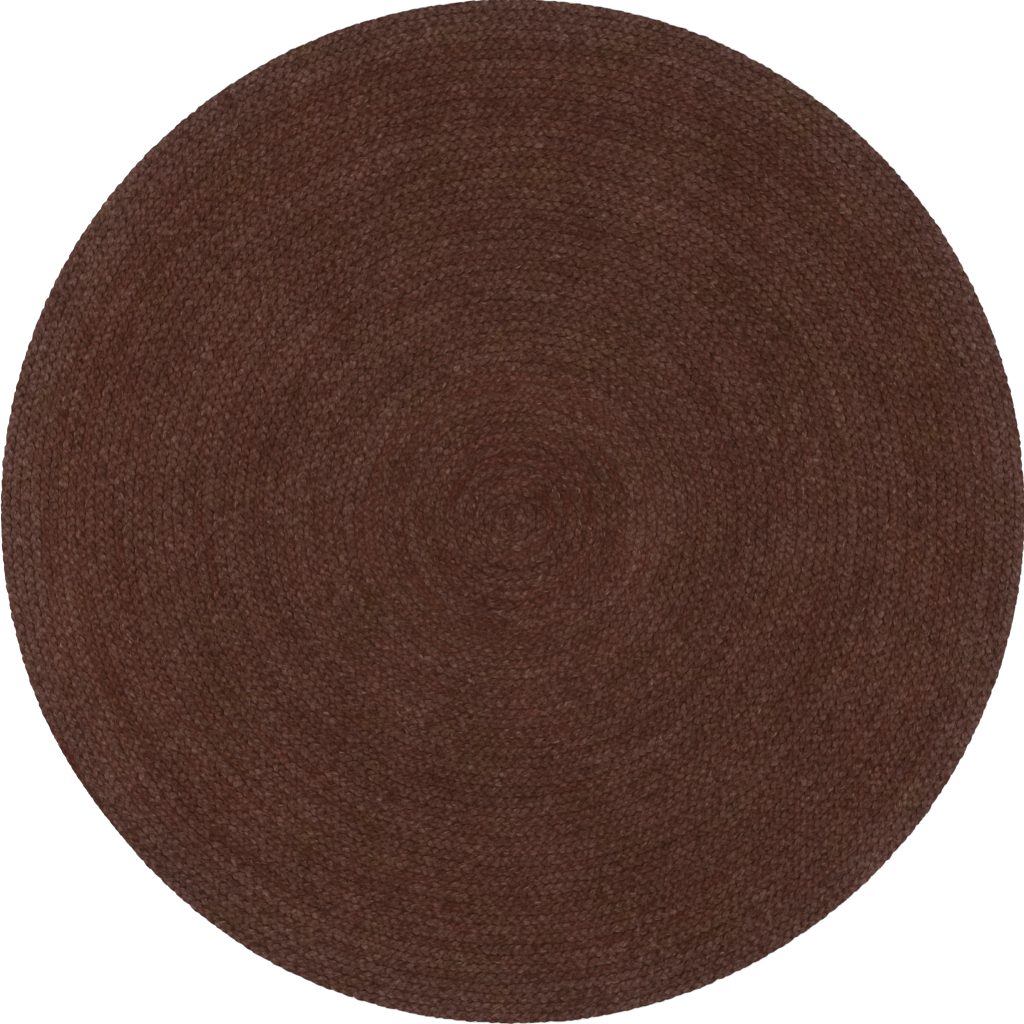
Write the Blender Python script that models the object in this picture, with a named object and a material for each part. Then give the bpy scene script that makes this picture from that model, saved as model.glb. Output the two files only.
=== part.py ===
"""Round jute rug: one flat three-strand braid, wound outwards in a spiral and sewn edge to edge.

Metres, +Z up. The rug lies on z = 0, and the origin is the middle of its underside. The top
carries the coil as it shows from a step away: one rounded ridge for each turn of the braid, with
the sewn groove beside it. The strands of the braid are finer than this solid.
"""

import math

import bmesh
import bpy

# Driving sizes of the rug
DIAMETER = 1.80              # across the round outline
THICKNESS = 0.010            # from the floor to the top of a ridge
TURNS = 51                   # turns of braid from the coil's middle to the rim
COIL_SHIFT_Y = -0.016        # the coil's middle lies this far off the outline's middle
GROOVE_DEPTH = 0.0032        # sewn groove between two turns, below the ridges
SHOULDER_DROP = 0.0012       # the outer side of the last turn is rounded through this line,
SHOULDER_INSET = 0.0035      # which lies this far inside the rim
RIM_HEIGHT = 0.0050          # height at which the rim is widest
UNDERCUT = 0.0030            # the underside stops this far inside the rim

# The stretch where the braid's loose end is thinned and laid against the rim, seen from above
# and counted anticlockwise from +X, as the coil grows
END_FROM = math.radians(200)
END_TO = math.radians(225)
FLAT_MIDDLE = math.radians(223)      # the outline is drawn in a little around here
FLAT_HALF_WIDTH = math.radians(22)
FLAT_DEPTH = 0.0050
SETTLING_TURNS = 14                  # outer turns that share out the step at the braid's end

SEGMENTS = 56                # straight steps in one turn; a multiple of 8 reaches all four sides

JUTE_COLOUR = (0.0762, 0.0307, 0.0212, 1.0)
JUTE_ROUGHNESS = 0.9

RADIUS = DIAMETER / 2
FULL_TURN = 2 * math.pi
RIM_LINE = 2 * TURNS - 1     # line 0 is the first ridge; ridges are even, grooves odd


def remove_everything():
    """Empties the scene of objects."""
    for thing in list(bpy.data.objects):
        bpy.data.objects.remove(thing, do_unlink=True)


def smoothstep(low, high, value):
    """0 below low, 1 above high, and a soft rise between them."""
    share = min(max((value - low) / (high - low), 0.0), 1.0)
    return share * share * (3 - 2 * share)


def outline_radius(direction):
    """The rim's distance from the origin: a circle, drawn in a little where the braid ends."""
    off = (direction - FLAT_MIDDLE + math.pi) % FULL_TURN - math.pi
    inside = max(0.0, 1 - (off / FLAT_HALF_WIDTH) ** 2)
    return RADIUS - FLAT_DEPTH * inside ** 2


def braid_left(angle):
    """The last turn's width as a share of the braid's: 1, then thinned to 0 at the braid's end.

    Every angle here counts from END_TO, where the last turn begins and ends.
    """
    return 1 - smoothstep(FULL_TURN - (END_TO - END_FROM), FULL_TURN, angle)


def turns_at_line(line, angle):
    """How many turns of braid lie between the coil's middle and a line of its top."""
    begun = angle / FULL_TURN
    last_groove = RIM_LINE - 2
    if line <= last_groove:
        return (line + 1) / 2 + begun
    return (last_groove + 1) / 2 + begun + (line - last_groove) / 2 * braid_left(angle)


def rug_point(turns, angle, height, inset=0.0):
    """A point of the rug, given by its place on the coil.

    Near the middle every turn is as wide as the next. The outer turns give way a little, so that
    the step at the braid's end doesn't show in the outline.
    """
    direction = END_TO + angle
    rim = outline_radius(direction)
    settled = smoothstep(TURNS - SETTLING_TURNS, TURNS, turns)
    out = turns / ((1 - settled) * TURNS + settled * turns_at_line(RIM_LINE, angle))
    reach = out * rim - inset
    x = reach * math.cos(direction)
    y = reach * math.sin(direction) + (1 - out) * COIL_SHIFT_Y
    return (x, y, height)


def ring(mesh, line, height, inset=0.0):
    """The points of one line, once round."""
    row = []
    for step in range(SEGMENTS):
        angle = FULL_TURN * step / SEGMENTS
        row.append(mesh.verts.new(rug_point(turns_at_line(line, angle), angle, height, inset)))
    return row


def close_band(mesh, inner, outer):
    """Faces between two rings that each close on themselves."""
    for step in range(SEGMENTS):
        after = (step + 1) % SEGMENTS
        mesh.faces.new((inner[step], outer[step], outer[after], inner[after]))


def coil_faces(mesh, lines):
    """Faces between the coil's lines. After one turn, each line runs on two lines further out."""
    last = SEGMENTS - 1
    for inner, outer in zip(lines, lines[1:]):
        for step in range(last):
            mesh.faces.new((inner[step], outer[step], outer[step + 1], inner[step + 1]))
    for number in range(RIM_LINE - 2):
        inner, outer, inner_on, outer_on = (lines[number + k] for k in (0, 1, 2, 3))
        mesh.faces.new((inner[last], outer[last], outer_on[0], inner_on[0]))
    # The last turn closes in a point, where the braid has run out.
    end_point = lines[RIM_LINE][0]
    for number in (RIM_LINE - 2, RIM_LINE - 1):
        mesh.faces.new((lines[number][last], lines[number + 1][last], end_point))


def coil_middle(mesh, lines):
    """Faces inside the first ridge: a fan around the coil's middle, then the step to the ridge."""
    middle = mesh.verts.new((0.0, COIL_SHIFT_Y, THICKNESS - GROOVE_DEPTH))
    first, second, third = lines[0], lines[1], lines[2]
    last = SEGMENTS - 1
    for step in range(last):
        mesh.faces.new((middle, first[step], first[step + 1]))
    mesh.faces.new((middle, first[last], first[0]))
    mesh.faces.new((first[0], first[last], second[0]))
    mesh.faces.new((second[0], first[last], third[0]))


def coil_lines(mesh):
    """The ridge and groove lines of the whole coil, from the middle to the rim."""
    lines = []
    for line in range(RIM_LINE):
        ridge = line % 2 == 0
        lines.append(ring(mesh, line, THICKNESS if ridge else THICKNESS - GROOVE_DEPTH))
    lines.append(ring(mesh, RIM_LINE, THICKNESS - SHOULDER_DROP, SHOULDER_INSET))
    return lines


def make_rug():
    """The rug as one closed solid."""
    mesh = bmesh.new()
    lines = coil_lines(mesh)
    coil_faces(mesh, lines)
    coil_middle(mesh, lines)
    shoulder = lines[RIM_LINE]
    rim = ring(mesh, RIM_LINE, RIM_HEIGHT)
    underside = ring(mesh, RIM_LINE, 0.0, UNDERCUT)
    close_band(mesh, shoulder, rim)
    close_band(mesh, rim, underside)
    mesh.faces.new(reversed(underside))
    data = bpy.data.meshes.new("rug")
    mesh.to_mesh(data)
    mesh.free()
    data.shade_smooth()
    rug = bpy.data.objects.new("rug", data)
    bpy.context.scene.collection.objects.link(rug)
    return rug


def jute():
    """Dyed jute, dark brown and dull."""
    material = bpy.data.materials.new("jute")
    material.use_nodes = True
    shader = material.node_tree.nodes["Principled BSDF"]
    shader.inputs["Base Color"].default_value = JUTE_COLOUR
    shader.inputs["Roughness"].default_value = JUTE_ROUGHNESS
    shader.inputs["Metallic"].default_value = 0.0
    return material


remove_everything()
make_rug().data.materials.append(jute())
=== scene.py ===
# %% [markdown]
# # A round braided jute rug
#
# The real rug is one long flat braid of three soft jute strands. The maker winds it outwards from
# the middle, flat on a table, and sews each turn to the last with hidden stitches. The rug is built
# here in the same order: first the path of the coil, then the three strands that plait themselves
# along it, and last the dyed fibre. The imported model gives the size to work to.

import math

import bmesh
import bpy
import numpy as np
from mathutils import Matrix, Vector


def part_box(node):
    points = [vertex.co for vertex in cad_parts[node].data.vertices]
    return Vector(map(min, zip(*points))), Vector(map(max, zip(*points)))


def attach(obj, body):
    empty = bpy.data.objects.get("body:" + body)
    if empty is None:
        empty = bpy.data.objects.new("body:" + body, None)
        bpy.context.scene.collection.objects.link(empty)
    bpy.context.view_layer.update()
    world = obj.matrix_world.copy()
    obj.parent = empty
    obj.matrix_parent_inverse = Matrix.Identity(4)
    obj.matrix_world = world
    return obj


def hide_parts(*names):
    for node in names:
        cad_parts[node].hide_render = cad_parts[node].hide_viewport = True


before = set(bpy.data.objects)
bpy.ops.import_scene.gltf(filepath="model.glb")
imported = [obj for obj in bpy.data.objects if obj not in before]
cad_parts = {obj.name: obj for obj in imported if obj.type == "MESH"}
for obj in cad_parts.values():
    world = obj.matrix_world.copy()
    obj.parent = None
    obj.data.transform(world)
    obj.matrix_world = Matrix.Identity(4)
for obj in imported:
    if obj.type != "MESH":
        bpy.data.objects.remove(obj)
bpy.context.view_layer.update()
rug_low, rug_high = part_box("rug")
RADIUS = (rug_high.x - rug_low.x) / 2
THICKNESS = rug_high.z - rug_low.z
print(f"rug: radius {RADIUS:.3f} m, thickness {1000 * THICKNESS:.1f} mm")

# %% [markdown]
# ## The camera
#
# The photograph looks straight down, and the rug fills it from edge to edge. A long lens keeps the
# rim as round as it is there. The camera's height follows from the lens: half the picture's width
# over the distance is half the sensor's width over the focal length.

# %% Camera straight above, framed as the photograph is
def placed(name, data):
    """A new object with this data, in the scene."""
    thing = bpy.data.objects.new(name, data)
    bpy.context.scene.collection.objects.link(thing)
    return thing


PICTURE = 1024                     # pixels along each side of the photograph
PHOTO_MIDDLE = (512.8, 511.5)      # the outline's middle there, in pixels
PHOTO_RADIUS = 511.5               # the outline's radius there, in pixels
LENS, SENSOR = 85.0, 36.0          # millimetres

pixel = RADIUS / PHOTO_RADIUS
camera_data = bpy.data.cameras.new("camera")
camera_data.lens = LENS
camera_data.sensor_width = SENSOR
camera = placed("camera", camera_data)
camera.location.x = (PICTURE / 2 - PHOTO_MIDDLE[0]) * pixel
camera.location.y = (PHOTO_MIDDLE[1] - PICTURE / 2) * pixel
camera.location.z = THICKNESS / 2 + PICTURE / 2 * pixel / (SENSOR / 2 / LENS)
bpy.context.scene.camera = camera
print(f"camera {camera.location.z:.2f} m above the floor, {1000 * pixel:.2f} mm to a pixel")

# %% [markdown]
# ## The studio
#
# A plain, nearly white floor and soft light. A white sky lights all sides of every bead alike and
# leaves the gaps between them dark. Two wide lamps stand to the left and right, the left one a
# little stronger. They add some direction, which shows the relief, and leave the rug's left and
# right edges a shade paler than its middle, as in the photograph.


# %% Helpers for node trees
def add_node(tree, kind, *values, **named):
    """A new node. A name in small letters is one of its settings, one with a capital is an input.

    Inputs get their values in order or by name, with _ for a space: a socket is linked, any other
    value is set, and None leaves the input as it is.
    """
    node = tree.nodes.new(kind)
    for name, setting in named.items():
        if name.islower():
            setattr(node, name, setting)
    inputs = [socket for socket in node.inputs if socket.enabled]
    pairs = list(zip(inputs, values))
    for name, value in named.items():
        if not name.islower():
            pairs.append((next(s for s in inputs if s.name == name.replace("_", " ")), value))
    for socket, value in pairs:
        if isinstance(value, bpy.types.NodeSocket):
            tree.links.new(value, socket)
        elif value is not None:
            socket.default_value = value
    return node


def calc(tree, operation, *values):
    """A Math node's result."""
    return add_node(tree, "ShaderNodeMath", *values, operation=operation).outputs[0]


def times(tree, first, second):
    """One value times another."""
    return calc(tree, "MULTIPLY", first, second)


def times_plus(tree, first, second, third):
    """One value times another, plus a third."""
    return calc(tree, "MULTIPLY_ADD", first, second, third)


def vector_calc(tree, operation, *values):
    """A Vector Math node's vector."""
    return add_node(tree, "ShaderNodeVectorMath", *values, operation=operation).outputs["Vector"]


def scaled(tree, vector, factor):
    """A vector times a number."""
    node = add_node(tree, "ShaderNodeVectorMath", vector, operation="SCALE", Scale=factor)
    return node.outputs["Vector"]


def joined(tree, x, y, z):
    """A vector from its three parts."""
    return add_node(tree, "ShaderNodeCombineXYZ", x, y, z).outputs[0]


def parted(tree, vector):
    """A vector's x, y and z."""
    return add_node(tree, "ShaderNodeSeparateXYZ", vector).outputs


def any_noise(tree, **how):
    """A noise texture's value, spread out to lie mostly between -1 and 1."""
    return times_plus(tree, add_node(tree, "ShaderNodeTexNoise", **how).outputs["Fac"], 4.0, -2.0)


def new_material(name):
    """A material with an empty node tree, and that tree."""
    material = bpy.data.materials.new(name)
    material.use_nodes = True
    material.node_tree.nodes.clear()
    return material, material.node_tree


def finish_material(tree, colour, roughness, gloss, relief=None, depth=0.0):
    """The usual end of a material: its shader, relief of this depth if any, and its output."""
    normal = None
    if relief is not None:
        normal = add_node(tree, "ShaderNodeBump", Height=relief, Distance=depth).outputs[0]
    shader = add_node(tree, "ShaderNodeBsdfPrincipled", Base_Color=colour, Roughness=roughness,
                      Specular_IOR_Level=gloss, Normal=normal)
    add_node(tree, "ShaderNodeOutputMaterial", shader.outputs[0])


# %% Floor, lamps and sky
FLOOR_SIZE = 14.0
FLOOR_COLOUR = (0.92, 0.92, 0.92, 1.0)
FLOOR_ROUGHNESS = 0.8
LAMPS = (  # name, place, power in watts
    ("key_lamp", (-1.9, 0.1, 1.9), 60.0),
    ("fill_lamp", (2.1, 0.0, 2.1), 49.0),
)
LAMP_SIZE = 2.0
SKY_STRENGTH = 0.83


def make_floor():
    """A square sheet of floor at z = 0, with the rug in its middle."""
    mesh = bmesh.new()
    bmesh.ops.create_grid(mesh, x_segments=1, y_segments=1, size=FLOOR_SIZE / 2)
    data = bpy.data.meshes.new("floor")
    mesh.to_mesh(data)
    mesh.free()
    material, tree = new_material("floor")
    finish_material(tree, FLOOR_COLOUR, FLOOR_ROUGHNESS, gloss=0.0)
    data.materials.append(material)
    floor = placed("floor", data)


def make_lamp(name, place, size, power):
    """A square area lamp that points at the rug's middle."""
    data = bpy.data.lights.new(name, "AREA")
    data.size = size
    data.energy = power
    lamp = placed(name, data)
    lamp.location = place
    lamp.rotation_euler = (-lamp.location).to_track_quat("-Z", "Y").to_euler()


def make_sky(strength):
    """An even white sky."""
    world = bpy.data.worlds.new("sky")
    world.use_nodes = True
    light = world.node_tree.nodes["Background"]
    light.inputs["Color"].default_value = (1.0, 1.0, 1.0, 1.0)
    light.inputs["Strength"].default_value = strength
    bpy.context.scene.world = world


make_floor()
for name, place, power in LAMPS:
    make_lamp(name, place, LAMP_SIZE, power)
make_sky(SKY_STRENGTH)
bpy.context.scene.view_settings.view_transform = "Standard"
print("floor, lamps and sky are up")

# %% [markdown]
# ## The path of the coil
#
# Every point of the rug has a place on the coil: how many turns of braid lie between it and the
# coil's middle, and in which direction it lies. Near the middle all turns are equally wide. The
# braid's end would leave a step in the outline as deep as the braid is wide, so the maker thins
# the end and lets the outer turns give way a little. These are the same sizes as the solid's.

# %% Sizes of the coil
TURNS = 51                         # turns of braid from the coil's middle to the rim
COIL_SHIFT_Y = -0.016              # the coil's middle lies this far off the outline's middle
END_FROM = math.radians(200)       # where the braid's end begins to thin, anticlockwise from +X
END_TO = math.radians(225)         # where it has run out
FLAT_MIDDLE = math.radians(223)    # the outline is drawn in a little around here
FLAT_HALF_WIDTH = math.radians(22)
FLAT_DEPTH = 0.0050
SETTLING_TURNS = 14                # outer turns that share out the step at the braid's end
FULL_TURN = 2 * math.pi
BRAID_WIDTH = RADIUS / TURNS
print(f"{TURNS} turns, each {1000 * BRAID_WIDTH:.1f} mm wide")


# %% From a place on the coil to a place on the floor
def smoothstep(low, high, value):
    """0 below low, 1 above high, and a soft rise between them."""
    share = np.clip((value - low) / (high - low), 0.0, 1.0)
    return share * share * (3 - 2 * share)


def outline_radius(direction):
    """The rim's distance from the origin."""
    off = (direction - FLAT_MIDDLE + math.pi) % FULL_TURN - math.pi
    inside = np.maximum(0.0, 1 - (off / FLAT_HALF_WIDTH) ** 2)
    return RADIUS - FLAT_DEPTH * inside ** 2


def braid_left(angle):
    """The last turn's width as a share of the braid's. Angles count from END_TO."""
    return 1 - smoothstep(FULL_TURN - (END_TO - END_FROM), FULL_TURN, angle)


def floor_place(turns, angle):
    """x and y of the points that lie so many turns out, at that angle within their turn."""
    direction = END_TO + angle
    rim = outline_radius(direction)
    settled = smoothstep(TURNS - SETTLING_TURNS, TURNS, turns)
    at_rim = TURNS - 1 + angle / FULL_TURN + braid_left(angle)
    out = turns / ((1 - settled) * TURNS + settled * at_rim)
    x = out * rim * np.cos(direction)
    y = out * rim * np.sin(direction) + (1 - out) * COIL_SHIFT_Y
    return np.stack([x, y], axis=-1)


# %% [markdown]
# ## The maker's hand
#
# No two turns are sewn quite alike. Each seam between two turns strays to and fro by a millimetre
# or so, which squeezes the braid on one side of it and widens it on the other. A random number
# for every few centimetres, joined by soft curves, is enough for that. The seed is fixed, so the
# rug comes out the same each time.

# %% Seams that stray a little
SEAM_STRAY = 0.085                 # of a braid's width
SEAM_STRAY_OVER = 0.055            # metres from one change to the next
EVEN_TURNS = 3                     # next to the rim the turns lie even
LOOSE_FROM, LOOSE_TO = 0.5, 2.0    # turns over which the seams begin to stray
CHANCE_SPREAD = 0.6                # of the random numbers around 0: most lie between -1 and 1
dice = np.random.default_rng(7)


def chance_line(length, over):
    """A smooth random function of distance: mostly from -1 to 1, with a change every `over`."""
    knots = dice.normal(0.0, CHANCE_SPREAD, int(length / over) + 3)

    def value(distance):
        place = np.clip(distance, 0.0, length) / over
        left = np.floor(place).astype(int)
        share = smoothstep(0.0, 1.0, place - left)
        return knots[left] * (1 - share) + knots[left + 1] * share

    return value


def coil_length(turns):
    """Length of the spiral line from the coil's middle to so many turns out."""
    return math.pi * BRAID_WIDTH * turns ** 2


stray = chance_line(coil_length(TURNS + 1), SEAM_STRAY_OVER)


def seam(turns):
    """Where the seam that should lie so many turns out really lies."""
    begun = smoothstep(LOOSE_FROM, LOOSE_TO, turns)
    loose = begun * (1 - smoothstep(TURNS - EVEN_TURNS, TURNS - 1, turns))
    return turns + SEAM_STRAY * loose * stray(coil_length(turns))


print(f"{coil_length(TURNS):.0f} m of seam, straying by {1000 * SEAM_STRAY * BRAID_WIDTH:.1f} mm")

# %% [markdown]
# ## The rhythm of the braid
#
# In a three-strand braid each strand swings from side to side, a third of a swing behind the one
# before it. Seen from above it shows twice in a swing, once at each edge, as a slanting bead. So
# one swing is as long as three beads. A hand never pulls quite evenly: the beads grow and shrink
# along the braid, slowly and also from one to the next. The first turns are bent the most, so in
# places the braid pulls narrower there, and the seams on both sides of it show as dark arcs. Every
# swing gets ten stations, about three for each bead, as fine as a rug with so many beads allows.

# %% Bead pitch
STRANDS = 3
BEAD_PITCH_INNER = 0.0160          # metres from bead to bead along one edge, first turns
BEAD_PITCH_OUTER = 0.0175          # the same, last turns
SLOW_PULL, SLOW_OVER = 0.05, 0.40  # share by which the pitch strays, and over how many metres
QUICK_PULL, QUICK_OVER = 0.25, 0.03
TIGHT, TIGHT_OVER = 0.22, 0.30     # the same for how much narrower the first turns are in places
TIGHT_OFTEN = 0.25                 # 0: half of their length is as wide as the rest. More: less is
TIGHT_TURNS = 18                   # from here on no braid is wound that tight
slow_pull = chance_line(coil_length(TURNS + 2), SLOW_OVER)
quick_pull = chance_line(coil_length(TURNS + 2), QUICK_OVER)
tight_pull = chance_line(coil_length(TURNS + 2), TIGHT_OVER)


def bead_pitch(along):
    """Distance from one bead to the next, so far along the braid."""
    even = BEAD_PITCH_INNER + (BEAD_PITCH_OUTER - BEAD_PITCH_INNER) * np.sqrt(along / along[-1])
    return even * (1 + SLOW_PULL * slow_pull(along) + QUICK_PULL * quick_pull(along))


def tightness(along):
    """Share by which the braid is narrower, so far along. It leaves dark gaps at its seams."""
    early = 1 - smoothstep(coil_length(TIGHT_TURNS / 2), coil_length(TIGHT_TURNS), along)
    return TIGHT * early * np.clip(tight_pull(along) + TIGHT_OFTEN, 0.0, 1.0)


# %% Stations: ten for each swing
STATIONS_PER_SWING = 10
START_ANGLE = -0.8 * math.pi       # the braid's first end lies on the coil's middle
MIDDLE_TAPER = 0.012               # metres over which the first end swells to full width
TUCKED = 0.4                       # share of its width to which the last end is pressed
FINE_STEPS = 400_000               # for measuring the path before it is divided


def braid_edges(angle):
    """Inner and outer edge of the braid, angle being counted from the end of the first turn.

    The last end is pressed narrow and thin, and tucked under the turn inside it.
    """
    turn = np.minimum(np.floor(angle / FULL_TURN), TURNS - 1)
    within = angle - turn * FULL_TURN
    left = np.where(turn == TURNS - 1, braid_left(within), 1.0)
    outer = turn + within / FULL_TURN + left
    inner = outer - np.maximum(left, TUCKED)
    return floor_place(seam(inner), within), floor_place(seam(outer), within)


def coil_stations():
    """Each station's place in its swing, distance along, middle, and half its width as a vector."""
    fine = np.linspace(START_ANGLE, TURNS * FULL_TURN, FINE_STEPS)
    inner, outer = braid_edges(fine)
    steps = np.linalg.norm(np.diff((inner + outer) / 2, axis=0), axis=1)
    run = np.concatenate([[0.0], np.cumsum(steps)])
    swings = np.concatenate([[0.0], np.cumsum(steps / (STRANDS * bead_pitch(run)[1:]))])
    phase = np.arange(0.5, STATIONS_PER_SWING * swings[-1]) / STATIONS_PER_SWING
    inner, outer = braid_edges(np.interp(phase, swings, fine))
    along = np.interp(phase, swings, run)
    across = (outer - inner) / 2
    across *= smoothstep(-MIDDLE_TAPER, MIDDLE_TAPER, along)[:, None]
    across *= 1 - tightness(along)[:, None]
    return FULL_TURN * phase, along, (inner + outer) / 2, across


phase, along, middle, across = coil_stations()
print(f"{along[-1]:.1f} m of braid, {len(along)} stations")
print(f"{2 * STRANDS * phase[-1] / FULL_TURN:.0f} beads show on each face of the rug")

# %% [markdown]
# ## Plaiting the strands with Geometry Nodes
#
# The path becomes a line of points that carry the braid's phase, width and direction. The node
# tree makes three copies of that line, one for each strand. It pushes them sideways by the sine
# of their phase and up and down by the sine of twice the phase, which is what over and under
# means in a braid. A little of each sine's third harmonic makes the crossings steeper and the
# beads' tops flatter, because the strands lie snug against each other. Then it sweeps a boxy ring
# along each line. Noise along a strand makes it wander, bulge and rise, so no bead is like the
# next. The same tree plaits every length.

# %% The tree's inputs, and helpers for its values
SIDES = 5
PLAIT_INPUTS = (
    ("Strands", "Int", STRANDS),
    ("Sides", "Int", SIDES),
    ("Reach", "Float", 0.52),          # these four are shares of half the braid's width
    ("Strand Width", "Float", 0.62),
    ("Strand Thickness", "Float", 0.30),
    ("Rise", "Float", 0.25),
    ("Unevenness", "Float", 0.40),     # share of the sway, swelling and lift below
    ("Wander", "Float", 0.50),         # radians that a strand runs ahead or lags behind
    ("Snugness", "Float", 0.13),       # share of the third harmonic
    ("Floor", "Float", 0.0003),        # metres; nothing reaches below this
    ("Seed", "Float", 3.0),
    ("Material", "Material", None),
)
FLAT_TOP = 0.16                    # share of the sixth harmonic in a strand's height
SWAY, PLUMP, LOFT = 0.3, 0.6, 0.09      # how far a strand sways, swells and lifts at most
CHANGES_OVER = (("sway", 0.016), ("plump", 0.012), ("loft", 0.018))   # metres between changes
WANDER_OVER = 0.045                # the same, for how far it runs ahead
STRAND_APART, CHANGE_APART = 17.3, 5.0  # the noise is read this far apart, so that nothing repeats
WANDER_APART = 11.0
WIDE, BOXY, DROOP = 1.65, 0.63, 0.36    # how a strand's round section is widened, squared and bent


def add_socket(tree, name, side, kind):
    """A new socket of the tree, on its INPUT or its OUTPUT side."""
    return tree.interface.new_socket(name, in_out=side, socket_type="NodeSocket" + kind)


def new_tree(name, inputs):
    """A Geometry Nodes tree with these named inputs, and what it is given."""
    tree = bpy.data.node_groups.new(name, "GeometryNodeTree")
    add_socket(tree, "Geometry", "INPUT", "Geometry")
    add_socket(tree, "Geometry", "OUTPUT", "Geometry")
    for label, kind, value in inputs:
        socket = add_socket(tree, label, "INPUT", kind)
        if value is not None:
            socket.default_value = value
    return tree, add_node(tree, "NodeGroupInput").outputs


def here(tree):
    """Where each point is."""
    return add_node(tree, "GeometryNodeInputPosition").outputs[0]


def moved(tree, geometry, **how):
    """The geometry, with a Position or an Offset for each point."""
    return add_node(tree, "GeometryNodeSetPosition", geometry, **how).outputs[0]


def attribute(tree, name, kind="FLOAT"):
    """Reads one of the path's values inside the tree."""
    node = add_node(tree, "GeometryNodeInputNamedAttribute", name, data_type=kind)
    return node.outputs["Attribute"]


def store(tree, geometry, name, value, kind="FLOAT"):
    """Writes a value to the points, so that it is still there when the tree is done."""
    return add_node(tree, "GeometryNodeStoreNamedAttribute", geometry, data_type=kind,
                    domain="POINT", Name=name, Value=value).outputs[0]


def change(tree, along, apart, seed, over):
    """Noise from -1 to 1 that changes over this distance along a strand."""
    where = joined(tree, calc(tree, "DIVIDE", along, over), apart, 0.0)
    return any_noise(tree, noise_dimensions="4D", Vector=where, W=seed, Scale=1.0, Detail=1.0)


# %% Step one: three lines that swing
def strand_lines(tree, given):
    """A copy of the path for each strand, which knows its number and where in its swing it is."""
    line = add_node(tree, "GeometryNodeMeshToCurve", given["Geometry"]).outputs[0]
    copies = add_node(tree, "GeometryNodeDuplicateElements", line, domain="SPLINE",
                      Amount=given["Strands"])
    number = copies.outputs["Duplicate Index"]
    lag = calc(tree, "DIVIDE", times(tree, number, FULL_TURN), given["Strands"])
    swing = calc(tree, "ADD", attribute(tree, "phase"), lag)
    apart = times_plus(tree, number, STRAND_APART, WANDER_APART)
    ahead = change(tree, attribute(tree, "along"), apart, given["Seed"], WANDER_OVER)
    swing = times_plus(tree, ahead, given["Wander"], swing)
    return store(tree, store(tree, copies.outputs[0], "swing", swing), "strand", number)


def swung(tree, lines, given, changes):
    """The lines, pushed sideways and up by their place in the swing."""
    swing = attribute(tree, "swing")
    third = calc(tree, "SINE", times(tree, swing, 3.0))
    side = times_plus(tree, third, given["Snugness"], calc(tree, "SINE", swing))
    side = calc(tree, "DIVIDE", side, calc(tree, "SUBTRACT", 1.0, given["Snugness"]))
    sway = times(tree, changes["sway"], SWAY)
    side = times_plus(tree, side, given["Reach"], sway)
    sideways = scaled(tree, attribute(tree, "across", "FLOAT_VECTOR"), side)
    double = calc(tree, "SINE", times(tree, swing, 2.0))
    sixth = calc(tree, "SINE", times(tree, swing, 6.0))
    double = calc(tree, "ADD", double, times(tree, sixth, FLAT_TOP))
    loft = times(tree, changes["loft"], LOFT)
    height = times_plus(tree, double, given["Rise"], loft)
    rest = calc(tree, "ADD", given["Rise"], given["Strand Thickness"])
    height = times(tree, calc(tree, "ADD", height, rest), attribute(tree, "half_width"))
    lift = joined(tree, 0.0, 0.0, height)
    lines = moved(tree, lines, Offset=vector_calc(tree, "ADD", sideways, lift))
    return add_node(tree, "GeometryNodeSetCurveNormal", lines, mode="Z_UP").outputs[0]


# %% Step two: a soft flattened ring, swept along each line
def strand_section(tree, given):
    """The ring, with a flat side on top. It carries its own round coordinates and corner numbers."""
    ring = add_node(tree, "GeometryNodeCurvePrimitiveCircle", given["Sides"], 1.0).outputs[0]
    half_side = calc(tree, "DIVIDE", math.pi, given["Sides"])
    turn = joined(tree, 0.0, 0.0, calc(tree, "SUBTRACT", half_side, math.pi / 2))
    ring = add_node(tree, "GeometryNodeTransform", ring, Rotation=turn).outputs[0]
    place = here(tree)
    ring = store(tree, ring, "section", place, "FLOAT_VECTOR")
    ring = store(tree, ring, "corner", add_node(tree, "GeometryNodeInputIndex").outputs[0])
    x, y, _ = parted(tree, place)
    wider = times_plus(tree, calc(tree, "ABSOLUTE", x), -BOXY, WIDE)
    height = times_plus(tree, times(tree, x, x), -DROOP, y)
    boxy = moved(tree, ring, Position=joined(tree, times(tree, x, wider), height, 0.0))
    size = joined(tree, given["Strand Width"], given["Strand Thickness"], 1.0)
    return add_node(tree, "GeometryNodeTransform", boxy, Scale=size).outputs[0]


def swept(tree, lines, section, size):
    """The section swept along the lines, with closed ends."""
    return add_node(tree, "GeometryNodeCurveToMesh", Curve=lines, Profile_Curve=section,
                    Scale=size, Fill_Caps=True).outputs[0]


def laid_down(tree, tubes, floor):
    """The tubes, pressed flat where they would reach below the floor."""
    x, y, z = parted(tree, here(tree))
    return moved(tree, tubes, Position=joined(tree, x, y, calc(tree, "MAXIMUM", z, floor)))


# %% The whole plaiting tree
def finish_tree(tree, geometry, material):
    """The usual end of a tree: smooth shading, real geometry, a material."""
    smooth = add_node(tree, "GeometryNodeSetShadeSmooth", geometry).outputs[0]
    real = add_node(tree, "GeometryNodeRealizeInstances", smooth).outputs[0]
    done = add_node(tree, "GeometryNodeSetMaterial", real, Material=material).outputs[0]
    add_node(tree, "NodeGroupOutput", done)


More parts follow.
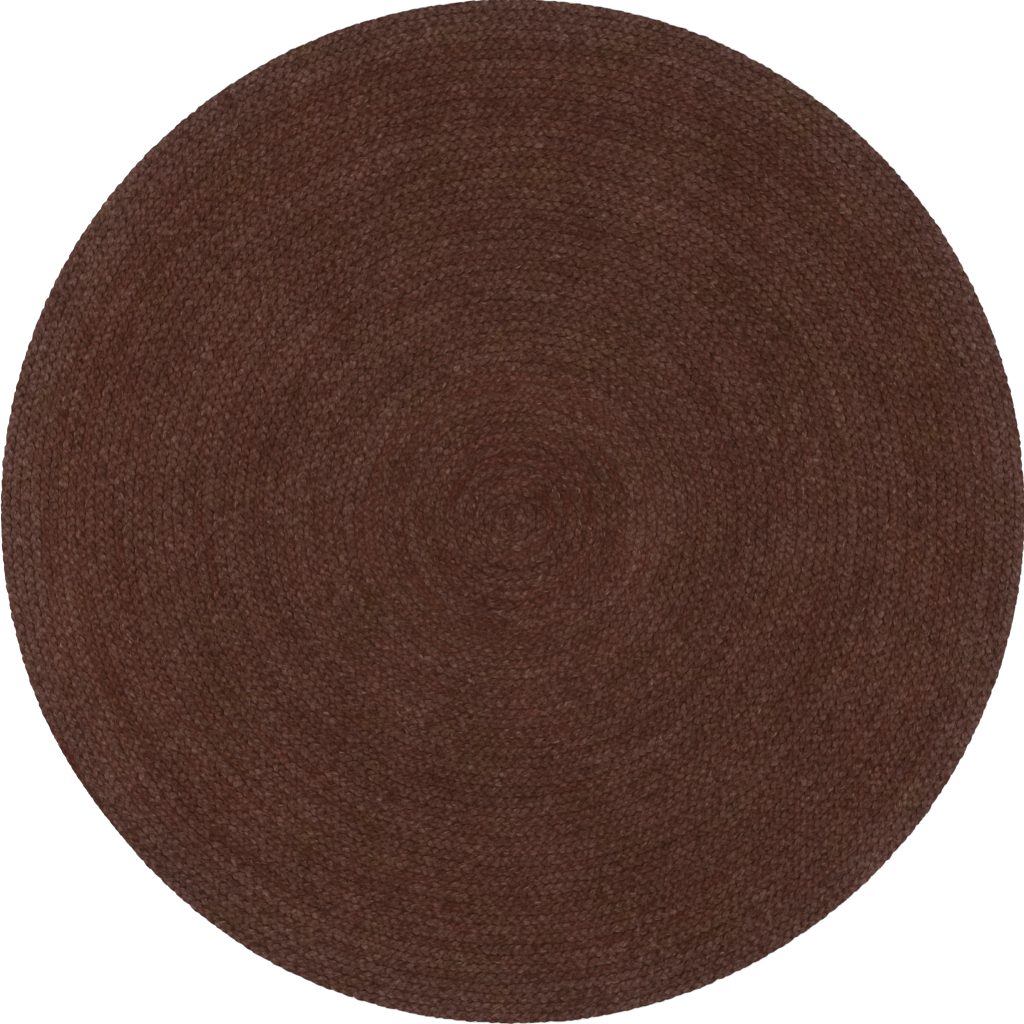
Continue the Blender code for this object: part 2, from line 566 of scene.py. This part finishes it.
def plaiting_tree():
    """Three flattened strands, plaited along a line of points."""
    tree, given = new_tree("plait", PLAIT_INPUTS)
    lines = strand_lines(tree, given)
    strand_apart = times(tree, attribute(tree, "strand"), STRAND_APART)
    changes = {}
    for number, (name, over) in enumerate(CHANGES_OVER):
        apart = calc(tree, "ADD", strand_apart, CHANGE_APART * number)
        noise = change(tree, attribute(tree, "along"), apart, given["Seed"], over)
        changes[name] = times(tree, noise, given["Unevenness"])
    way = add_node(tree, "GeometryNodeInputTangent").outputs[0]
    lines = store(tree, swung(tree, lines, given, changes), "way", way, "FLOAT_VECTOR")
    girth = times_plus(tree, changes["plump"], PLUMP, 1.0)
    girth = times(tree, girth, attribute(tree, "half_width"))
    tubes = swept(tree, lines, strand_section(tree, given), girth)
    finish_tree(tree, laid_down(tree, tubes, given["Floor"]), given["Material"])
    return tree


plait = plaiting_tree()
print(f"plaiting tree: {len(plait.nodes)} nodes")

# %% [markdown]
# ## Dyed jute
#
# Jute fibre takes dye unevenly. The photograph shows a dark brown that drifts along the braid, as
# the maker picks up new fibre, and that differs from bead to bead and from tuft to tuft. There are
# redder and more golden stretches, broad rings from one lot of fibre to the next, and thin rings
# around the middle. Towards the rim, painted light makes the colour paler and greyer. Where the dye
# is thin, it is greyer as well as lighter. Painted shade makes the depths between the strands darker
# and redder than their crowns, and each bead's crest is rubbed paler and carries a painted
# highlight. Each strand is a loose bundle, so fine streaks run along it and turn slowly round it,
# and painted shade darkens the creases between its plies. The streaks read the strand's own
# coordinates, so they follow every swing of the braid, and the dye reads the place on the rug.

# %% Helpers for shaders
def new_group(name, inputs, outputs):
    """A shader node group with named sockets, and what it is given."""
    group = bpy.data.node_groups.new(name, "ShaderNodeTree")
    for side, sockets in (("INPUT", inputs), ("OUTPUT", outputs)):
        for kind, labels in sockets.items():
            for label in labels:
                add_socket(group, label, side, kind)
    return group, add_node(group, "NodeGroupInput").outputs


def noise(tree, place, scale, detail=2.0, roughness=0.5):
    """Noise around 0 at a place given as a vector."""
    return any_noise(tree, Vector=place, Scale=scale, Detail=detail, Roughness=roughness)


def noise_along(tree, distance, scale, detail=1.0):
    """Noise around 0 that depends on one distance alone."""
    return any_noise(tree, noise_dimensions="1D", W=distance, Scale=scale, Detail=detail)


def between(tree, value, *limits):
    """0 to 1 as the value goes from one limit to the next, or from a third number to a fourth."""
    return add_node(tree, "ShaderNodeMapRange", value, *limits).outputs[0]


def mixed(tree, first, second, share):
    """From the first colour to the second, as the share goes from 0 to 1."""
    node = add_node(tree, "ShaderNodeMix", data_type="RGBA", Factor=share, A=first, B=second)
    return node.outputs[2]


# %% Group: fibres along a strand
FIBRE_STRETCH = 0.07               # streaks are this much finer across than along
STRAND_ALONG = 3.7                 # metres that one strand's streaks lie ahead of the next one's
PLIES = 3                          # yarns that are laid together into one strand
LOCK_SCALE, FIBRE_SCALE, FLECK_SCALE = 330.0, 1500.0, 1100.0   # streaks in a metre across
FLECK_FROM, FLECK_TO = 0.70, 1.10  # noise at which a fleck begins and is full
FLECK_APART = (7.0, 3.0, 1.0)      # metres off the other streaks' noise


def turned_by(tree, section, angle):
    """The round coordinates, turned about the strand's own axis."""
    return add_node(tree, "ShaderNodeVectorRotate", section, rotation_type="Z_AXIS",
                    Angle=angle).outputs[0]


def fibre_group():
    """Three plies laid round each other, and streaks along them: locks, fibres and stray flecks,
    which are pale fibres and painted glints.
    """
    group, given = new_group(
        "fibres", {"Float": ("Along", "Strand", "Girth", "Lay", "Twist"), "Vector": ("Section",)},
        {"Float": ("Plies", "Locks", "Fibres", "Flecks")})
    laid = turned_by(group, given["Section"], times(group, given["Along"], given["Lay"]))
    x, y, _ = parted(group, laid)
    half_ply = times(group, calc(group, "ARCTAN2", y, x), PLIES / 2)
    plies = calc(group, "ABSOLUTE", calc(group, "SINE", half_ply))
    twisted = times(group, given["Along"], given["Twist"])
    round_it = scaled(group, turned_by(group, given["Section"], twisted), given["Girth"])
    onward = times_plus(group, given["Strand"], STRAND_ALONG, given["Along"])
    onward = joined(group, 0.0, 0.0, times(group, onward, FIBRE_STRETCH))
    place = vector_calc(group, "ADD", round_it, onward)
    locks = noise(group, place, LOCK_SCALE, 2.0)
    single = noise(group, place, FIBRE_SCALE, 4.0, 0.7)
    rare = noise(group, vector_calc(group, "ADD", place, FLECK_APART), FLECK_SCALE, 1.0)
    flecks = between(group, rare, FLECK_FROM, FLECK_TO)
    add_node(group, "NodeGroupOutput", plies, locks, single, flecks)
    return group


fibres = fibre_group()
print("fibre group:", len(fibres.nodes), "nodes")

# %% Group: dye
# A noise is its scale, its detail, its roughness if it reads a place, and its share of lightness.
LIGHTER = (3.2, 5.0, 6.6)           # gain of each colour channel for one step of lightness
REDDER = (0.048, -0.024, -0.012)    # change of each channel where the dye is redder,
GOLDER = (-0.03, 0.06, -0.33)       # where it is more golden,
RIM_LIGHT_GREYER = (-0.03, 0.11, 0.20)        # and at the rim, which painted light makes paler and greyer
CROWN_UNSHADED = 0.7                    # crown mask at which the painted shade ends and the colour is the body colour
STRAND_DYE = 211.0                  # metres of dyed fibre from one strand's first end to the next's
BEADS = (70.0, 0.0, 0.16)           # from one bead to the next
BATCHES = (1.7, 2.0, 0.07)          # from one batch of fibre to the next
TURN_GROUPS = (0.12, 2.0, 0.05)     # from a few turns to the next few
TUFTS = (230.0, 3.0, 0.75, 0.44)
PATCHES = (6.0, 6.0, 0.68, 0.145)   # dye that took unevenly
ARCS = (6.0, 3.0, 0.6, 0.11)        # the same, in arcs
RINGS = (6.0, 1.5, 0.6, 0.14)       # single turns around the middle
RED, GOLD = (7.0, 5.0, 0.70), (9.0, 6.0, 0.72)             # these two add no lightness
RED_APART, GOLD_APART = (3.0, 1.0, 2.0), (1.0, 5.0, 4.0)   # metres off the patches' noise
GOLD_FROM, GOLD_TO = 0.05, 1.0      # noise at which the dye begins to be golden, and is fully so
ARC_ROUND, ARC_OUT = 0.25, 4.0      # how an arc's pattern is stretched: round the rug and outwards
RING_ROUND, RING_OUT = 0.6, 3.5     # the same for single turns, as a share of an arc's
RING_FROM, RING_TO = 0.15, 0.40     # shares of the radius over which single turns stop standing out
RIM_FROM, RIM_TO = 0.87, 1.0        # shares of the radius over which painted light makes the rim paler
RIM_PAINTED_LIGHT = 0.14
EVEN = 0.5                          # lightness of a lot of fibre that is as light as the whole
DYE_LOTS = (  # share of the radius, and lightness there
    (0.0, 0.45), (0.19, 0.45), (0.21, 0.51), (0.25, 0.53), (0.42, 0.52),
    (0.48, 0.46), (0.55, 0.49), (0.62, 0.47), (0.70, 0.51), (1.0, 0.51))


def same(tree, value):
    """A vector with the same value three times."""
    return joined(tree, value, value, value)


def round_place(tree, place):
    """How far out a place is, and the same place in coordinates that run along the turns."""
    flat = vector_calc(tree, "MULTIPLY", place, (1.0, 1.0, 0.0))
    out = add_node(tree, "ShaderNodeVectorMath", flat, operation="LENGTH").outputs["Value"]
    x, y, _ = parted(tree, vector_calc(tree, "NORMALIZE", flat))
    x = times(tree, x, ARC_ROUND)
    y = times(tree, y, ARC_ROUND)
    return out, joined(tree, x, y, times(tree, out, ARC_OUT))


def lot_lightness(tree, out):
    """How much lighter than even the lot of fibre is that was used so far out."""
    lots = add_node(tree, "ShaderNodeValToRGB", calc(tree, "DIVIDE", out, RADIUS))
    stops = lots.color_ramp.elements
    for place, _ in DYE_LOTS[1:-1]:
        stops.new(place)
    for stop, (place, value) in zip(stops, DYE_LOTS):
        stop.position = place
        stop.color = (value, value, value, 1.0)
    return calc(tree, "SUBTRACT", lots.outputs[0], EVEN)


def all_lightness(tree, given, out, arc_place, rim):
    """The lightness that is given, all that the uneven dye adds to it, and the rim's painted light.
    """
    apart = times_plus(tree, given["Strand"], STRAND_DYE, given["Along"])
    light = given["Lightness"]
    for source, place, (*shape, share) in (
            (noise_along, apart, BEADS),
            (noise_along, apart, BATCHES),
            (noise_along, given["Along"], TURN_GROUPS),
            (noise, given["Place"], TUFTS),
            (noise, given["Place"], PATCHES),
            (noise, arc_place, ARCS)):
        light = times_plus(tree, source(tree, place, *shape), share, light)
    ring_place = vector_calc(tree, "MULTIPLY", arc_place, (RING_ROUND, RING_ROUND, RING_OUT))
    near = between(tree, out, RING_FROM * RADIUS, RING_TO * RADIUS, 1.0, 0.0)
    *shape, share = RINGS
    rings = times(tree, noise(tree, ring_place, *shape), near)
    light = times_plus(tree, rings, share, light)
    light = calc(tree, "ADD", lot_lightness(tree, out), light)
    return times_plus(tree, rim, RIM_PAINTED_LIGHT, light)


def dye_and_painted_light_group():
    """Colour of the fibre: painted shade deep between the strands, full on their crowns, unevenly
    dyed.
    """
    group, given = new_group(
        "dye", {"Vector": ("Place",), "Float": ("Along", "Strand", "Crown", "Lightness"),
                "Color": ("Deep", "Body")}, {"Color": ("Colour",)})
    place = given["Place"]
    out, arc_place = round_place(group, place)
    # Painted light: the colour gets paler and greyer towards the rim.
    rim = between(group, out, RIM_FROM * RADIUS, RIM_TO * RADIUS)
    light = all_lightness(group, given, out, arc_place, rim)
    # Painted shade: from the darker, redder deep colour low between the strands to the body colour
    # on the crowns.
    full = between(group, given["Crown"], 0.0, CROWN_UNSHADED)
    colour = mixed(group, given["Deep"], given["Body"], full)
    gain = vector_calc(group, "POWER", LIGHTER, same(group, light))
    red = noise(group, vector_calc(group, "ADD", place, RED_APART), *RED)
    gold = noise(group, vector_calc(group, "ADD", place, GOLD_APART), *GOLD)
    gold = between(group, gold, GOLD_FROM, GOLD_TO)
    shift = vector_calc(group, "MULTIPLY_ADD", same(group, red), REDDER, (1.0, 1.0, 1.0))
    shift = vector_calc(group, "MULTIPLY_ADD", same(group, gold), GOLDER, shift)
    shift = vector_calc(group, "MULTIPLY_ADD", same(group, rim), RIM_LIGHT_GREYER, shift)
    colour = vector_calc(group, "MULTIPLY", vector_calc(group, "MULTIPLY", colour, gain), shift)
    add_node(group, "NodeGroupOutput", colour)
    return group


dye = dye_and_painted_light_group()
print("dye group:", len(dye.nodes), "nodes")

# %% Jute strands
# Painted shade: the deep colour is darker and redder than the body colour, for the depths between
# the strands.
SHADED_DEEP_COLOUR = (0.0500, 0.0090, 0.0036, 1.0)
BODY_COLOUR = (0.0530, 0.0197, 0.0134, 1.0)
# Flecks: pale fibres that took little dye, and also painted glints of light.
FLECK_AND_GLINT_COLOUR = (0.30, 0.21, 0.15, 1.0)
STRAND_GIRTH = 0.0038              # mean radius of a strand, metres
STRAND_LAY = 165.0                 # radians that the plies turn in a metre of braid
FIBRE_TWIST = 40.0                 # the same, for the fibres in a ply
STRAND_LIGHTNESS, RUB_AND_HIGHLIGHT = -0.19, 0.10  # steps: of the whole strand, and added on a bead's crest as rubbed wear and painted highlight
STREAKS_AND_PLY_SHADE = (("Plies", 0.20), ("Locks", 0.18), ("Fibres", 0.38))     # steps that they add; the plies' step is painted shade in the creases between plies
FLECK_AND_GLINT_SHARE = 0.40
RELIEF = (("Fibres", 0.15), ("Locks", 0.15))            # heights, where that of the plies is 1
RELIEF_DEPTH = 0.0012              # metres
STRAND_ROUGHNESS, FIBRE_GLEAM = 0.78, -0.08
JUTE_GLOSS = 0.05


def on_rug(tree):
    """Where a point lies on the rug."""
    return add_node(tree, "ShaderNodeTexCoord").outputs["Object"]


def read(tree, name, output="Fac"):
    """Reads one of the mesh's attributes in a shader."""
    return add_node(tree, "ShaderNodeAttribute", attribute_name=name).outputs[output]


def height_shade_mask(tree, place):
    """0 halfway up the rug, where strands cross, and 1 on the beads' crowns on either face: painted
    shade by height.
    """
    height = parted(tree, place)["Z"]
    off = calc(tree, "ABSOLUTE", calc(tree, "SUBTRACT", height, THICKNESS / 2))
    return calc(tree, "DIVIDE", off, THICKNESS / 2)


def crest_rub_and_highlight_mask(tree):
    """1 on the crest of a bead, halfway between two crossings, and 0 at the crossings: rubbed wear
    and a painted highlight.
    """
    bead = calc(tree, "SINE", times(tree, read(tree, "swing"), 2.0))
    bead = times(tree, bead, bead)
    aside = parted(tree, read(tree, "section", "Vector"))["X"]
    crest = calc(tree, "SUBTRACT", 1.0, times(tree, aside, aside))
    return times(tree, bead, crest)


def dyed(tree, place, crown, light, along=0.0, strand=0.0):
    """The dyed fibre's colour, with the painted shade and painted light that the dye group adds."""
    return add_node(tree, "ShaderNodeGroup", node_tree=dye, Place=place, Along=along, Strand=strand,
                    Crown=crown, Lightness=light, Deep=SHADED_DEEP_COLOUR, Body=BODY_COLOUR).outputs[0]


def jute_material():
    """Dyed jute strands."""
    material, tree = new_material("jute_strand")
    place = on_rug(tree)
    along_here, strand_here = read(tree, "along"), read(tree, "strand")
    streaks = add_node(tree, "ShaderNodeGroup", node_tree=fibres, Along=along_here,
                       Section=read(tree, "section", "Vector"), Strand=strand_here,
                       Girth=STRAND_GIRTH, Lay=STRAND_LAY, Twist=FIBRE_TWIST).outputs
    light = times_plus(tree, crest_rub_and_highlight_mask(tree), RUB_AND_HIGHLIGHT, STRAND_LIGHTNESS)
    # Painted shade: the creases between the plies are darker. Locks and fibres are streaks of dye.
    for name, share in STREAKS_AND_PLY_SHADE:
        light = times_plus(tree, streaks[name], share, light)
    colour = dyed(tree, place, height_shade_mask(tree, place), light, along_here, strand_here)
    fleck = times(tree, streaks["Flecks"], FLECK_AND_GLINT_SHARE)
    relief = streaks["Plies"]
    for name, share in RELIEF:
        relief = times_plus(tree, streaks[name], share, relief)
    roughness = times_plus(tree, streaks["Fibres"], FIBRE_GLEAM, STRAND_ROUGHNESS)
    colour = mixed(tree, colour, FLECK_AND_GLINT_COLOUR, fleck)
    finish_material(tree, colour, roughness, JUTE_GLOSS, relief, RELIEF_DEPTH)
    return material


jute = jute_material()
# Rubbed here means the crests' rubbed wear together with their painted highlight.
print("jute strands: dyed, streaked and rubbed")

# %% [markdown]
# ## The braid, one length after another
#
# The maker splices new fibre into the strands as the old runs out. Here the braid is cut into
# lengths for another reason: one mesh for all of it would be too heavy to handle. Neighbouring
# lengths share the station at which they meet.

# %% One length of braid after another
LENGTHS = 8


def path_object(name, first, last):
    """The stations from first to last as a line of points that carry their values."""
    count = last - first
    data = bpy.data.meshes.new(name)
    data.vertices.add(count)
    place = np.zeros((count, 3))
    place[:, :2] = middle[first:last]
    data.vertices.foreach_set("co", place.ravel())
    data.edges.add(count - 1)
    ends = np.stack([np.arange(count - 1), np.arange(1, count)], axis=-1)
    data.edges.foreach_set("vertices", ends.ravel())
    sideways = np.zeros((count, 3))
    sideways[:, :2] = across[first:last]
    half = np.linalg.norm(sideways, axis=1)
    carried = {"phase": phase[first:last], "along": along[first:last], "half_width": half}
    for label, values in carried.items():
        data.attributes.new(label, "FLOAT", "POINT").data.foreach_set("value", values)
    vectors = data.attributes.new("across", "FLOAT_VECTOR", "POINT")
    vectors.data.foreach_set("vector", sideways.ravel())
    return placed(name, data)


def put_to_work(tree, thing, **values):
    """Lets a tree work on an object. Its inputs are set by the identifiers of their sockets."""
    modifier = thing.modifiers.new(tree.name, "NODES")
    modifier.node_group = tree
    for item in tree.interface.items_tree:
        if item.item_type == "SOCKET" and item.in_out == "INPUT" and item.name in values:
            modifier[item.identifier] = values[item.name]


def plain_mesh(worked, name):
    """The worked object's result as a mesh of its own. The object it came from goes."""
    graph = bpy.context.evaluated_depsgraph_get()
    data = bpy.data.meshes.new_from_object(worked.evaluated_get(graph))
    data.name = name
    bpy.data.objects.remove(worked)
    return placed(name, data)


def braid_length(number):
    """One of the lengths that the coil is wound from."""
    first = (len(along) - 1) * number // LENGTHS
    last = (len(along) - 1) * (number + 1) // LENGTHS + 1
    line = path_object(f"path_{number + 1}", first, last)
    put_to_work(plait, line, Material=jute)
    return plain_mesh(line, f"braid_{number + 1}")


def describe(piece):
    """Prints a piece's triangles and its lowest and highest point."""
    heights = np.empty(len(piece.data.vertices) * 3)
    piece.data.vertices.foreach_get("co", heights)
    heights = 1000 * heights[2::3]
    piece.data.calc_loop_triangles()
    print(f"{piece.name}: {len(piece.data.loop_triangles)} triangles, "
          f"{heights.min():.1f} to {heights.max():.1f} mm above the floor")


braids = [braid_length(number) for number in range(LENGTHS)]
for braid in braids:
    describe(braid)

# %% [markdown]
# ## Loose fibres
#
# Jute sheds. Short fibres work loose from the strands, lie across the beads and catch the light,
# because less dye took on them. They are real shapes here, a few thousand of them, and not a
# pattern, since they cross from one strand to the next. A tree scatters points on the crowns of
# the beads and puts a thin bowed fibre on each, roughly along the strand that it came from.

# %% The fraying tree
FRAY_INPUTS = (
    ("Braids", "Collection", None),
    ("Density", "Float", 1650.0),      # fibres for each square metre of crowns
    ("Crowns Above", "Float", 0.0080), # metres above the floor
    ("Thickness", "Float", 0.0005),    # metres, in the middle of a fibre
    ("Shortest", "Float", 0.010),
    ("Longest", "Float", 0.030),
    ("Bow", "Float", 0.0030),          # metres that a fibre bends sideways
    ("Stray", "Float", 0.7),           # radians to either side of the strand's way
    ("Seed", "Int", 11),
    ("Material", "Material", None),
)
FIBRE_POINTS, FIBRE_SIDES = 5, 3
FIBRE_TAPER = 0.7                  # share of its thickness that a fibre loses towards its ends
FIBRE_TILT = 0.06                  # radians by which it points up or down at most
LEAST_BOW = 0.2                    # share of the bow that the straightest fibre has


def chance(tree, low, high, seed):
    """A random number for each point."""
    node = add_node(tree, "FunctionNodeRandomValue", data_type="FLOAT", Min=low, Max=high, Seed=seed)
    return [found for found in node.outputs if found.enabled][0]


def one_fibre(tree, given):
    """A fibre one metre long, bowed sideways, thick in the middle and thin at its ends."""
    line = add_node(tree, "GeometryNodeCurvePrimitiveLine", (-0.5, 0.0, 0.0), (0.5, 0.0, 0.0))
    points = add_node(tree, "GeometryNodeResampleCurve", line.outputs[0], mode="COUNT",
                      Count=FIBRE_POINTS).outputs[0]
    x = parted(tree, here(tree))[0]
    to_end = times(tree, times(tree, x, x), 4.0)     # 0 in the middle, 1 at both ends
    bend = times(tree, to_end, given["Bow"])
    bowed = moved(tree, points, Offset=joined(tree, 0.0, bend, 0.0))
    radius = times(tree, given["Thickness"], 0.5)
    ring = add_node(tree, "GeometryNodeCurvePrimitiveCircle", FIBRE_SIDES, radius).outputs[0]
    return swept(tree, bowed, ring, times_plus(tree, to_end, -FIBRE_TAPER, 1.0))


def crown_points(tree, given):
    """Points scattered on the upper faces of the beads."""
    braids_in = add_node(tree, "GeometryNodeCollectionInfo", given["Braids"])
    surface = add_node(tree, "GeometryNodeRealizeInstances", braids_in.outputs[0]).outputs[0]
    crowns = calc(tree, "GREATER_THAN", parted(tree, here(tree))[2], given["Crowns Above"])
    return add_node(tree, "GeometryNodeDistributePointsOnFaces", surface, Selection=crowns,
                    distribute_method="RANDOM", Density=given["Density"],
                    Seed=given["Seed"]).outputs[0]


def fraying_tree():
    """Loose fibres on the braids' crowns."""
    tree, given = new_tree("fray", FRAY_INPUTS)
    way_x, way_y, _ = parted(tree, attribute(tree, "way", "FLOAT_VECTOR"))
    stray = chance(tree, times(tree, given["Stray"], -1.0), given["Stray"], 1)
    turn = calc(tree, "ADD", calc(tree, "ARCTAN2", way_y, way_x), stray)
    half_turn = times(tree, calc(tree, "ROUND", chance(tree, 0.0, 1.0, 2)), math.pi)
    tilt = chance(tree, -FIBRE_TILT, FIBRE_TILT, 3)
    turn = joined(tree, 0.0, tilt, calc(tree, "ADD", turn, half_turn))
    turn = add_node(tree, "FunctionNodeEulerToRotation", turn).outputs[0]
    length = chance(tree, given["Shortest"], given["Longest"], 4)
    size = joined(tree, length, chance(tree, LEAST_BOW, 1.0, 5), 1.0)
    all_fibres = add_node(tree, "GeometryNodeInstanceOnPoints", crown_points(tree, given),
                          Instance=one_fibre(tree, given), Rotation=turn, Scale=size)
    finish_tree(tree, all_fibres.outputs[0], given["Material"])
    return tree


fray = fraying_tree()
print(f"fraying tree: {len(fray.nodes)} nodes")


# %% Loose jute, and the fibres themselves
LOOSE_LIGHTNESS, LOOSE_UNEVEN = 0.6, 0.5        # steps: how light they are, and how far it varies
LOOSE_SCALE, LOOSE_FINE_SCALE = 45.0, 900.0
LOOSE_ROUGHNESS, LOOSE_ROUGHER = 0.6, 0.08
LOOSE_GLOSS = 0.3


def loose_material():
    """Single fibres that took little dye."""
    material, tree = new_material("loose_jute")
    place = on_rug(tree)
    uneven = noise(tree, place, LOOSE_SCALE, 1.0)
    light = times_plus(tree, uneven, LOOSE_UNEVEN, LOOSE_LIGHTNESS)
    fine = noise(tree, place, LOOSE_FINE_SCALE)
    roughness = times_plus(tree, fine, LOOSE_ROUGHER, LOOSE_ROUGHNESS)
    finish_material(tree, dyed(tree, place, 1.0, light), roughness, LOOSE_GLOSS)
    return material


def loose_fibres():
    """All the loose fibres as one piece."""
    together = bpy.data.collections.new("braids")
    bpy.context.scene.collection.children.link(together)
    for braid in braids:
        together.objects.link(braid)
    start = placed("loose_start", bpy.data.meshes.new("loose_start"))
    put_to_work(fray, start, Braids=together, Material=loose_material())
    fibres_made = plain_mesh(start, "loose_fibres")
    bpy.data.collections.remove(together)
    return fibres_made


loose = loose_fibres()
describe(loose)

# %% [markdown]
# ## A map that follows the strands
#
# When the rug leaves Blender, its materials are painted into pictures, and each face needs a place
# there. An automatic map would cut the braid into thousands of scraps with wide gaps. A strand is
# one long tube, so it unrolls into a ribbon with a line for each corner and a column for each
# station. The ribbon is far too long for the picture, so it is cut into rows, which lie one below
# the other like lines of text.

# %% Strands unrolled into rows
MAP_NAME = "OFBake"
ROW_STATIONS = 250                 # columns in a row
ROW_GAP = 0.8                      # between rows, in sides of the strand
CAP_COLUMN, CAP_WIDE, CAP_HIGH = 1.3, 0.5, 0.8   # an end's place beside its row, and half its sizes


def point_values(data, name):
    """One of the mesh's attributes as an array, one number for each point."""
    values = np.empty(len(data.vertices), dtype=np.float32)
    data.attributes[name].data.foreach_get("value", values)
    return values


def unroll(braid):
    """Gives a length of braid its map."""
    data = braid.data
    point = np.empty(len(data.loops), dtype=np.int32)
    data.loops.foreach_get("vertex_index", point)
    starts, sizes = np.empty((2, len(data.polygons)), dtype=np.int32)
    data.polygons.foreach_get("loop_start", starts)
    data.polygons.foreach_get("loop_total", sizes)
    side = point_values(data, "corner").round().astype(int)[point]
    strand = point_values(data, "strand").round().astype(int)[point]
    station = np.unique(point_values(data, "along"), return_inverse=True)[1][point]
    first = np.repeat(np.minimum.reduceat(station, starts), sizes)
    is_end = first == np.repeat(np.maximum.reduceat(station, starts), sizes)
    span = np.repeat(np.maximum.reduceat(side, starts) - np.minimum.reduceat(side, starts), sizes)
    line = np.where((span == SIDES - 1) & (side == 0), SIDES, side)
    column = station - first // ROW_STATIONS * ROW_STATIONS
    rows = station.max() // ROW_STATIONS + 1
    row = strand * rows + first // ROW_STATIONS
    turn = FULL_TURN * side / SIDES
    cap_across = ROW_STATIONS + CAP_COLUMN + CAP_WIDE * np.cos(turn)
    cap_down = SIDES / 2 * (1 + CAP_HIGH * np.sin(turn))
    across = np.where(is_end, cap_across, column) / (ROW_STATIONS + 2)
    down = np.where(is_end, cap_down, line) + row * (SIDES + ROW_GAP)
    down = (down + ROW_GAP / 2) / (STRANDS * rows * (SIDES + ROW_GAP))
    layer = data.uv_layers.new(name=MAP_NAME)
    layer.uv.foreach_set("vector", np.stack([across, down], axis=-1).astype(np.float32).ravel())
    return across, down


for braid in braids:
    across_map, down_map = unroll(braid)
for label, values in (("across", across_map), ("down", down_map)):
    print(f"the last map reaches from {values.min():.3f} to {values.max():.3f} {label}")

# %% [markdown]
# ## The inside of the braid
#
# Where three strands cross, fibre is packed tight between them, and no light comes through. The
# imported solid has just the shape of the coil, so a copy of it, pressed thin and drawn in from the
# rim, fills the braid from inside. It is the sheet that the strands are worked on.

# %% The core
CORE_LOW = 0.0032                  # metres above the floor: its underside,
CORE_HIGH = 0.0052                 # its top where the strands cross over it,
SEAM_HIGH = 0.0070                 # and its top where the stitches pull two turns together
CORE_INSET = 0.0045                # metres that it stays inside the rim
GROOVE_DEPTH = 0.0032              # of the solid's grooves
TOP_ABOVE = THICKNESS / 2 + 0.0005  # the solid's points above this belong to its top
GRAIN = (900.0, 3.0, 0.6)          # scale, detail and roughness
# The core's crown value sets how much of the painted shade of the deep colour it gets.
CORE_CROWN, CORE_LIGHTNESS, GRAIN_LIGHTNESS = 0.6, -0.04, 0.2
CORE_ROUGHNESS, GRAIN_ROUGHNESS = 0.9, 0.04
GRAIN_DEPTH = 0.0004               # metres


def core_material():
    """Undisturbed dark fibre, with a little of the deep colour's painted shade."""
    material, tree = new_material("jute_core")
    place = on_rug(tree)
    grain = noise(tree, place, *GRAIN)
    light = times_plus(tree, grain, GRAIN_LIGHTNESS, CORE_LIGHTNESS)
    roughness = times_plus(tree, grain, GRAIN_ROUGHNESS, CORE_ROUGHNESS)
    colour = dyed(tree, place, CORE_CROWN, light)
    finish_material(tree, colour, roughness, JUTE_GLOSS, grain, GRAIN_DEPTH)
    return material


def make_core():
    """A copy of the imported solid, thinned and drawn in."""
    mesh = bmesh.new()
    mesh.from_mesh(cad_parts["rug"].data)
    bmesh.ops.remove_doubles(mesh, verts=mesh.verts, dist=1e-6)
    for vertex in mesh.verts:
        vertex.co.x *= 1 - CORE_INSET / RADIUS
        vertex.co.y *= 1 - CORE_INSET / RADIUS
        if vertex.co.z > TOP_ABOVE:
            ridge = (vertex.co.z - (THICKNESS - GROOVE_DEPTH)) / GROOVE_DEPTH
            vertex.co.z = SEAM_HIGH + ridge * (CORE_HIGH - SEAM_HIGH)
        else:
            vertex.co.z = CORE_LOW
    data = bpy.data.meshes.new("braid_core")
    mesh.to_mesh(data)
    mesh.free()
    data.materials.clear()
    data.materials.append(core_material())
    return placed("braid_core", data)


core = make_core()
describe(core)

# %% [markdown]
# ## What stands for what
#
# The core, the eight lengths of braid and their loose fibres are attached to one body, and
# together they stand for the imported solid, which is hidden and stays behind for the collisions.
# The rug is a flat sheet of cloth whose flat size is its own, because the braid is wound flat.

# %% Declarations
for piece in [core, loose] + braids:
    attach(piece, "root")
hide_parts("rug")
